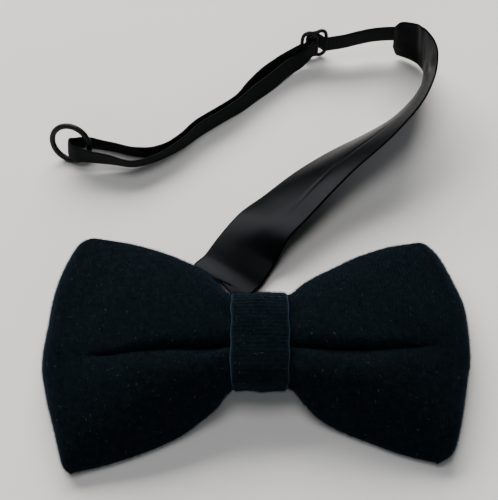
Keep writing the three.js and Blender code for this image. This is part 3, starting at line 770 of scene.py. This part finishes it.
def makeBand():
    shape = bandShape
    last = len(bandSections["rows"]) - 1
    at = np.linspace(0, last, last * shape["rowsPerSection"] + 1)
    read = {column: readColumn(bandSections, column, at) for column in bandColumns}
    heading, tilt = np.radians(read["heading"]), np.radians(read["tilt"])
    across = np.stack([np.sin(heading) * np.cos(tilt), -np.cos(heading) * np.cos(tilt), np.sin(tilt)], 1)
    up = np.stack([-np.sin(heading) * np.sin(tilt), np.cos(heading) * np.sin(tilt), np.cos(tilt)], 1)
    start = np.stack([read["x"], read["y"], read["z"]], 1)
    t = np.linspace(0, 1, shape["columns"])
    inset = shape["thickness"] / 2
    reach = inset + (read["width"][:, None] - 2 * inset) * t
    lift = read["arch"][:, None] * np.sin(math.pi * t)
    row = at[:, None]
    crease = shape["creasePlace"] + shape["creaseDrift"] * (shape["creaseRow"] - row)
    along = smoothstep(*shape["creaseStarts"], row) * (1 - smoothstep(*shape["creaseStops"], row))
    fromCrease = (t - crease) * bandWidth / shape["creaseWidth"]
    lift = lift - shape["creaseDepth"] * along * np.exp(-fromCrease ** 2)
    ripples = unevenness(row * shape["rippleRow"], t * shape["rippleAcross"], shape["rippleSize"], 4)
    lift = lift + shape["rippleHeight"] * ripples * smoothstep(*shape["rippleStarts"], row)
    middle = start[:, None] + across[:, None] * reach[..., None] + up[:, None] * lift[..., None]
    normals = gridNormals(middle)
    sign = 1 if (normals * up[:, None]).sum() > 0 else -1
    outside = middle + sign * normals * shape["thickness"] / 2
    rings, outer = clothRings(outside, sign * shape["thickness"], shape["borderSteps"])
    made = ringsObject("satin_neck_band", rings, satinCloth, outer=outer)
    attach(made, "root")
    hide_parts("satin_band")
    declareCloth(made, middle)


makeBand()
print("neck band made")


# Elastic strap

slideShape = {
    "halfPitch": 4.1,
    "halfHeight": 5.8,
    "wireRadius": 0.6,
    "waist": 0.7,
    "waistWidth": 1.5,
    "squareness": 4,
    "outlineSteps": 128,
    "wireSides": 16,
    "barRows": 24,
    "lift": 0.05,
    "turn": 14,
    "x": 18.3,
    "y": 114.9,
}
elasticShape = {
    "thickness": 1.0,
    "shownThickness": 0.66,
    "height": 6.4,
    "clearance": 0.3,
    "ribPitch": 0.62,
    "ribHeight": 0.07,
    "warpHeight": 0.03,
    "warpThreads": 5,
    "toothDepth": 0.06,
    "borderInset": 0.2,
    "borderShare": 0.75,
    "slack": 0.05,
    "spacing": 0.15,
    "columns": 12,
}
singleStrand = [
    (52.0, 114.3, 5.8), (49.4, 116.0, 5.8), (46.6, 117.0, 5.7), (42.5, 117.4, 5.4), (37.5, 117.2, 5.0),
    (32.5, 116.2, 4.6), (28.0, 115.0, 4.3),
]
strandColumns = ("x", "y", "z", "lean")
farStrand = countedTable(strandColumns, [
    (8.1, 108.4, 0.8, 12), (2.5, 103.2, 0.3, 16), (-1.9, 98.2, 0, 14), (-6.0, 93.0, 0, 8),
    (-12.4, 88.1, 0, 3), (-19.2, 82.8, 0, 3), (-24.7, 77.8, 0, -5), (-30.0, 74.3, 0, -10),
    (-34.7, 72.8, 0, -9), (-39.7, 73.6, 0, -13), (-45.9, 75.4, 0, -13), (-52.4, 76.5, 0, -7),
])
nearStrand = countedTable(strandColumns, [
    (16.2, 111.5, 1.3, 5), (13.6, 109.3, 0.3, 12), (10.2, 106.4, 0.4, 13), (4.9, 100.8, 0.1, 16),
    (0.0, 96.4, 0, 14), (-5.0, 91.7, 0, 8), (-11.6, 86.8, 0, 1), (-18.3, 81.5, 0, 1),
    (-23.9, 76.4, 0, -7), (-29.2, 72.8, 0, -14), (-34.4, 70.0, 0.3, -19), (-39.8, 68.2, 1.0, -20),
    (-46.2, 68.6, 1.9, -11), (-52.0, 68.8, 2.5, -4),
])
# The strap's way through the slide, in degrees round its bars.
slideWay = {
    "from": -75,
    "to": -118,
    "sewnFrom": -100,
    "sewnTo": 158,
    "fromZ": 3.5,
    "middleZ": 3.0,
    "toZ": 2.6,
    "barSteps": 4,
    "loopSteps": 7,
    "sewnSteps": 9,
}
ringTurn = {
    "x": -55.6,
    "y": 72.7,
    "alongRadius": 3.7,
    "acrossRadius": 3.7,
    "steps": 10,
    "nearZ": 2.7,
    "farZ": 0.1,
    "lean": 6,
}


def atSlide(u, v):
    turn = math.radians(slideShape["turn"])
    return (slideShape["x"] + u * math.cos(turn) - v * math.sin(turn),
            slideShape["y"] + u * math.sin(turn) + v * math.cos(turn))


def roundBar(bar, radius, start, stop, z, steps):
    angles = np.radians(np.linspace(start, stop, steps + 1))
    return [(*atSlide(bar + radius * math.cos(a), radius * math.sin(a)), z, 0, 0) for a in angles]


# Places along a strand, each with the shift in plan of the upper border above it.
def leaning(strand):
    last = len(strand["rows"]) - 1
    at = np.linspace(0, last, last * 3 + 1)
    x, y, z, lean = (readColumn(strand, column, at) for column in strandColumns)
    away = unit(np.gradient(np.stack([x, y], 1), axis=0))
    shift = elasticShape["height"] * np.sin(np.radians(lean))
    return np.stack([x, y, z, away[:, 1] * shift, -away[:, 0] * shift], 1).tolist()


# The strap's lower border from end to end, with the shift in plan of its upper border.
def strapWay():
    half = elasticShape["thickness"] / 2
    gap = elasticShape["clearance"]
    pitch = slideShape["halfPitch"]
    overBar = slideShape["wireRadius"] + gap + half
    sewnLoop = slideShape["wireRadius"] + gap / 2 + half
    overLoop = sewnLoop + elasticShape["thickness"] + gap / 2 + elasticShape["slack"]
    lean = math.degrees(math.acos((overBar + overLoop) / pitch))
    through = [
        *roundBar(pitch, overBar, slideWay["from"], -180 + lean, slideWay["fromZ"], slideWay["barSteps"]),
        *roundBar(0, overLoop, lean, 180 - lean, slideWay["middleZ"], slideWay["loopSteps"]),
        *roundBar(-pitch, overBar, -lean, slideWay["to"], slideWay["toZ"], slideWay["barSteps"]),
    ]
    sewnLoopRound = roundBar(
        0, sewnLoop, slideWay["sewnFrom"], slideWay["sewnTo"], slideWay["toZ"], slideWay["sewnSteps"])

    turn = []
    turnOver = elasticShape["height"] * math.sin(math.radians(ringTurn["lean"]))
    for k in range(ringTurn["steps"] + 1):
        angle = math.pi / 2 + math.pi * k / ringTurn["steps"]
        rise = smoothstep(1, ringTurn["steps"] / 2, k)
        turn.append((
            ringTurn["x"] + ringTurn["alongRadius"] * math.cos(angle),
            ringTurn["y"] + ringTurn["acrossRadius"] * math.sin(angle),
            ringTurn["farZ"] + (ringTurn["nearZ"] - ringTurn["farZ"]) * rise,
            -math.cos(angle) * turnOver,
            -math.sin(angle) * turnOver,
        ))
    single = [(*p, 0, 0) for p in singleStrand]
    return [*single, *through, *leaning(farStrand), *turn, *leaning(nearStrand)[::-1], *sewnLoopRound]


def makeStrap():
    shape = elasticShape
    way, at = splineThrough(strapWay(), shape["spacing"])
    along = unit(np.gradient(way[:, :2], axis=0))
    faceSide = np.stack([-along[:, 1], along[:, 0]], 1)
    rise = np.sqrt(shape["height"] ** 2 - way[:, 3] ** 2 - way[:, 4] ** 2)
    lower = way[:, :3]
    toUpper = np.stack([way[:, 3], way[:, 4], rise], 1)
    v = np.linspace(0, 1, shape["columns"])
    rib = 0.5 + 0.5 * np.cos(2 * math.pi * at / shape["ribPitch"])
    halfThickness = shape["shownThickness"] / 2 - shape["ribHeight"] + shape["ribHeight"] * rib
    warp = shape["warpHeight"] * np.cos(2 * math.pi * v * shape["warpThreads"])
    sideways = np.concatenate([faceSide, np.zeros((len(way), 1))], 1)
    inset = shape["borderInset"]
    place = inset / shape["height"] + v * (1 - 2 * inset / shape["height"])
    teeth = shape["toothDepth"] * rib[:, None] * np.array([-1, *([0] * (shape["columns"] - 2)), 1])
    share = place[None, :, None] + teeth[..., None] / shape["height"]
    centre = lower[:, None] + toUpper[:, None] * share
    thick = (halfThickness[:, None] + warp)[..., None] * sideways[:, None]
    edge = np.ones(shape["columns"])
    edge[[0, -1]] = shape["borderShare"]
    left = centre + thick * edge[None, :, None]
    right = centre - thick * edge[None, :, None]
    tip = np.array([-inset, inset]) / shape["height"]
    bottom = centre[:, :1] + toUpper[:, None] * tip[0]
    top = centre[:, -1:] + toUpper[:, None] * tip[1]
    rings = np.concatenate([left, top, right[:, ::-1], bottom], 1)
    made = ringsObject("woven_elastic_strap", rings, elasticCloth)
    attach(made, "root")
    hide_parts("elastic_strap")
    print("strap length", round(float(at[-1]), 1))


makeStrap()


# Slide, ring and hook

ringShape = {
    "meanRadius": 6.12,
    "wireRadius": 0.9,
    "steps": 120,
    "wireSides": 18,
    "tilt": 71.4,
    "turn": -17.2,
    "x": -58.3,
    "y": 73.1,
    "z": 6.74,
}


def turnedAboutZ(points, degrees):
    c, s = math.cos(math.radians(degrees)), math.sin(math.radians(degrees))
    return np.stack([points[..., 0] * c - points[..., 1] * s, points[..., 0] * s + points[..., 1] * c,
                     points[..., 2]], -1)


def makeSlide():
    shape = slideShape
    angle = 2 * math.pi * (np.arange(shape["outlineSteps"]) + 0.5) / shape["outlineSteps"]
    power = 2 / shape["squareness"]
    c = np.sign(np.cos(angle)) * np.abs(np.cos(angle)) ** power
    s = np.sign(np.sin(angle)) * np.abs(np.sin(angle)) ** power
    x = shape["halfPitch"] * c
    pinch = shape["waist"] * np.exp(-((x / shape["waistWidth"]) ** 2))
    path = np.stack([x, 0 * x, (shape["halfHeight"] - pinch) * s], -1)
    outline = tubeRings(path, shape["wireRadius"], shape["wireSides"])
    barHalf = shape["halfHeight"] - shape["waist"]
    z = np.linspace(-barHalf, barHalf, shape["barRows"])
    angle = 2 * math.pi * np.arange(shape["wireSides"]) / shape["wireSides"]
    bar = np.stack(np.broadcast_arrays(
        shape["wireRadius"] * np.cos(angle), shape["wireRadius"] * np.sin(angle), z[:, None],
    ), -1)
    place = np.array([shape["x"], shape["y"], shape["lift"] + shape["wireRadius"] + shape["halfHeight"]])
    outline = turnedAboutZ(outline, shape["turn"]) + place
    wire = ringsObject("wire_slide", outline, blackWire, closedAlong=True)
    centreBar = ringsObject("slide_centre_bar", turnedAboutZ(bar, shape["turn"]) + place, blackWire)
    for piece in (wire, centreBar):
        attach(piece, "root")
    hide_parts("slide")


def makeRing():
    shape = ringShape
    angle = 2 * math.pi * np.arange(shape["steps"]) / shape["steps"]
    tilt = math.radians(shape["tilt"])
    path = shape["meanRadius"] * np.stack([
        np.cos(angle), np.sin(angle) * math.cos(tilt), np.sin(angle) * math.sin(tilt),
    ], -1)
    path = turnedAboutZ(path, shape["turn"]) + np.array([shape["x"], shape["y"], shape["z"]])
    rings = tubeRings(path, shape["wireRadius"], shape["wireSides"])
    made = ringsObject("wire_ring", rings, blackWire, closedAlong=True)
    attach(made, "root")
    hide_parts("ring")


makeSlide()
makeRing()
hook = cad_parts["hook"]
hook.data.materials.clear()
hook.data.materials.append(blackWire)
print("slide, ring and hook made")


# Pile and lint on the velvet

lintLook = {"perSquareMetre": 85000.0, "length": 0.0007, "radius": 0.000024, "material": lintFibre}
fullTurn = 6.283
pileLook = {"perSquareMetre": 1.35e7, "length": 0.0009, "radius": 0.00003, "material": wingVelvet}


# The named inputs of a group that scatters fibres, and its one output.
def fibreSockets(group):
    face = group.interface
    kinds = {
        "Geometry": "Geometry", "Density": "Float", "Seed": "Int",
        "Length": "Float", "Radius": "Float", "Material": "Material",
    }
    for name, kind in kinds.items():
        face.new_socket(name, in_out="INPUT", socket_type="NodeSocket" + kind)
    face.new_socket("Geometry", in_out="OUTPUT", socket_type="NodeSocketGeometry")
    return addNode(group, "NodeGroupInput").outputs


# Points on the outer side, where the root is higher than a fibre is long. The longest still reach 0.1 mm
# under the surface that the tie lies on.
def scatterOverOutside(group, given):
    where = addNode(group, "GeometryNodeInputNamedAttribute", {"Name": "outer"}, data_type="FLOAT")
    outside = addNode(group, "FunctionNodeCompare", {0: where.outputs["Attribute"], 1: 0.99},
                      data_type="FLOAT", operation="GREATER_THAN")
    position = addNode(group, "GeometryNodeInputPosition")
    height = addNode(group, "ShaderNodeSeparateXYZ", {0: position.outputs["Position"]})
    clear = addNode(group, "FunctionNodeCompare", {0: height.outputs["Z"], 1: given["Length"]},
                    data_type="FLOAT", operation="GREATER_THAN")
    chosen = addNode(group, "FunctionNodeBooleanMath", {
        0: outside.outputs["Result"], 1: clear.outputs["Result"],
    }, operation="AND")
    return addNode(group, "GeometryNodeDistributePointsOnFaces", {
        "Mesh": given["Geometry"], "Selection": chosen.outputs[0],
        "Density": given["Density"], "Seed": given["Seed"],
    }, distribute_method="RANDOM")


def finishFibres(group, given, placed):
    real = addNode(group, "GeometryNodeRealizeInstances", {"Geometry": placed.outputs["Instances"]})
    coloured = addNode(group, "GeometryNodeSetMaterial", {
        "Geometry": real.outputs["Geometry"], "Material": given["Material"],
    })
    addNode(group, "NodeGroupOutput", {"Geometry": coloured.outputs["Geometry"]})


# Short bent fibres lying on a mesh.
def lintNodes():
    group = bpy.data.node_groups.new("scattered_lint", "GeometryNodeTree")
    given = fibreSockets(group)
    scatter = scatterOverOutside(group, given)
    half = addNode(group, "ShaderNodeMath", {0: given["Length"], 1: 0.5}, operation="MULTIPLY")
    back = addNode(group, "ShaderNodeMath", {0: given["Length"], 1: -0.5}, operation="MULTIPLY")
    bow = addNode(group, "ShaderNodeMath", {0: given["Length"], 1: 0.3}, operation="MULTIPLY")
    start = addNode(group, "ShaderNodeCombineXYZ", {"X": back.outputs[0]})
    middle = addNode(group, "ShaderNodeCombineXYZ", {"Y": bow.outputs[0]})
    end = addNode(group, "ShaderNodeCombineXYZ", {"X": half.outputs[0]})
    fibre = addNode(group, "GeometryNodeCurveQuadraticBezier", {
        "Resolution": 5, "Start": start.outputs[0], "Middle": middle.outputs[0], "End": end.outputs[0],
    })
    profile = addNode(group, "GeometryNodeCurvePrimitiveCircle", {
        "Resolution": 4, "Radius": given["Radius"],
    })
    thread = addNode(group, "GeometryNodeCurveToMesh", {
        "Curve": fibre.outputs["Curve"], "Profile Curve": profile.outputs["Curve"], "Fill Caps": True,
    })
    spin = addNode(group, "FunctionNodeRandomValue", {
        "Min": (0.0, 0.0, 0.0), "Max": (0.0, 0.0, fullTurn), "Seed": given["Seed"],
    }, data_type="FLOAT_VECTOR")
    turned = addNode(group, "FunctionNodeRotateRotation", {
        "Rotation": scatter.outputs["Rotation"], "Rotate By": spin.outputs["Value"],
    }, rotation_space="LOCAL")
    size = addNode(group, "FunctionNodeRandomValue", {
        "Min": (0.15, 0.15, 0.6), "Max": (1.3, 1.3, 1.0), "Seed": given["Seed"],
    }, data_type="FLOAT_VECTOR")
    placed = addNode(group, "GeometryNodeInstanceOnPoints", {
        "Points": scatter.outputs["Points"], "Instance": thread.outputs["Mesh"],
        "Rotation": turned.outputs["Rotation"], "Scale": size.outputs["Value"],
    })
    finishFibres(group, given, placed)
    return group


# Tapered hairs standing on a mesh, each leaning its own way.
def pileNodes():
    group = bpy.data.node_groups.new("standing_pile", "GeometryNodeTree")
    given = fibreSockets(group)
    scatter = scatterOverOutside(group, given)
    hair = addNode(group, "GeometryNodeMeshCone", {
        "Vertices": 3, "Radius Top": 0.0, "Radius Bottom": given["Radius"], "Depth": given["Length"],
    }, fill_type="NONE")
    lean = addNode(group, "FunctionNodeRandomValue", {
        "Min": (-0.9, -0.9, 0.0), "Max": (0.9, 0.9, fullTurn), "Seed": given["Seed"],
    }, data_type="FLOAT_VECTOR")
    turned = addNode(group, "FunctionNodeRotateRotation", {
        "Rotation": scatter.outputs["Rotation"], "Rotate By": lean.outputs["Value"],
    }, rotation_space="LOCAL")
    size = addNode(group, "FunctionNodeRandomValue", {
        "Min": (0.6, 0.6, 0.4), "Max": (1.2, 1.2, 1.1), "Seed": given["Seed"],
    }, data_type="FLOAT_VECTOR")
    placed = addNode(group, "GeometryNodeInstanceOnPoints", {
        "Points": scatter.outputs["Points"], "Instance": hair.outputs["Mesh"],
        "Rotation": turned.outputs["Rotation"], "Scale": size.outputs["Value"],
    })
    finishFibres(group, given, placed)
    return group


def addFibres(group, host, name, look, seed):
    carrier = bpy.data.objects.new(name, host.data.copy())
    bpy.context.scene.collection.objects.link(carrier)
    modifier = carrier.modifiers.new("fibres", "NODES")
    modifier.node_group = group
    values = {
        "Density": look["perSquareMetre"], "Seed": seed, "Length": look["length"],
        "Radius": look["radius"], "Material": look["material"],
    }
    for item in group.interface.items_tree:
        if item.item_type == "SOCKET" and item.in_out == "INPUT" and item.name in values:
            modifier[item.identifier] = values[item.name]
    bpy.context.view_layer.update()
    evaluated = carrier.evaluated_get(bpy.context.evaluated_depsgraph_get())
    mesh = bpy.data.meshes.new_from_object(evaluated)
    carrier.modifiers.clear()
    carrier.data = mesh
    mesh.name = name
    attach(carrier, "root")
    print(name, "faces", len(mesh.polygons))
    return carrier


lintGroup = lintNodes()
pileGroup = pileNodes()
for place, host, seed in (("left", wingLeft, 3), ("right", wingRight, 8), ("knot", knot, 5)):
    addFibres(lintGroup, host, "lint_" + place, lintLook, seed)
    addFibres(pileGroup, host, "pile_" + place, pileLook, seed)
print("pile and lint made")


# Light and camera

# Azimuth is from +Y towards +X, in degrees.
def addSoftbox(name, azimuth, elevation, distance, size, power, colour):
    a, e = math.radians(azimuth), math.radians(elevation)
    away = Vector((math.sin(a) * math.cos(e), math.cos(a) * math.cos(e), math.sin(e)))
    light = bpy.data.lights.new(name, "AREA")
    light.shape = "RECTANGLE"
    light.size, light.size_y = size
    light.energy = power
    light.color = linear(colour)[:3]
    made = bpy.data.objects.new(name, light)
    made.location = away * distance
    made.rotation_euler = away.to_track_quat("Z", "Y").to_euler()
    bpy.context.scene.collection.objects.link(made)


addSoftbox("window_behind", -16, 34, 1.6, (2.0, 0.8), 66, "#fffdfb")
addSoftbox("top_softbox", -70, 84, 1.4, (0.7, 0.7), 6, "#ffffff")
addSoftbox("front_fill", 180, 16, 1.6, (1.5, 0.5), 9, "#f6faff")

worldLook = {"colour": (0.9, 0.95, 1.0, 1.0), "strength": 0.04}
world = bpy.data.worlds.new("studio")
world.use_nodes = True
world.node_tree.nodes["Background"].inputs["Color"].default_value = worldLook["colour"]
world.node_tree.nodes["Background"].inputs["Strength"].default_value = worldLook["strength"]
bpy.context.scene.world = world

cameraView = {"lens": 96.1, "elevation": 56, "distance": 400, "target": (-3.0, 37.68)}
camera = bpy.data.cameras.new("camera")
camera.lens = cameraView["lens"]
camera.sensor_width = 36
camera.clip_start = 0.01
camera.clip_end = 10
cameraObject = bpy.data.objects.new("camera", camera)
elevation = math.radians(cameraView["elevation"])
target = (np.array([*cameraView["target"], 0.0]) + bowOrigin) / 1000
back = Vector((0, -math.cos(elevation), math.sin(elevation)))
cameraObject.location = Vector(target) + back * cameraView["distance"] / 1000
cameraObject.rotation_euler = back.to_track_quat("Z", "Y").to_euler()
bpy.context.scene.collection.objects.link(cameraObject)
bpy.context.scene.camera = cameraObject
print("stage made")
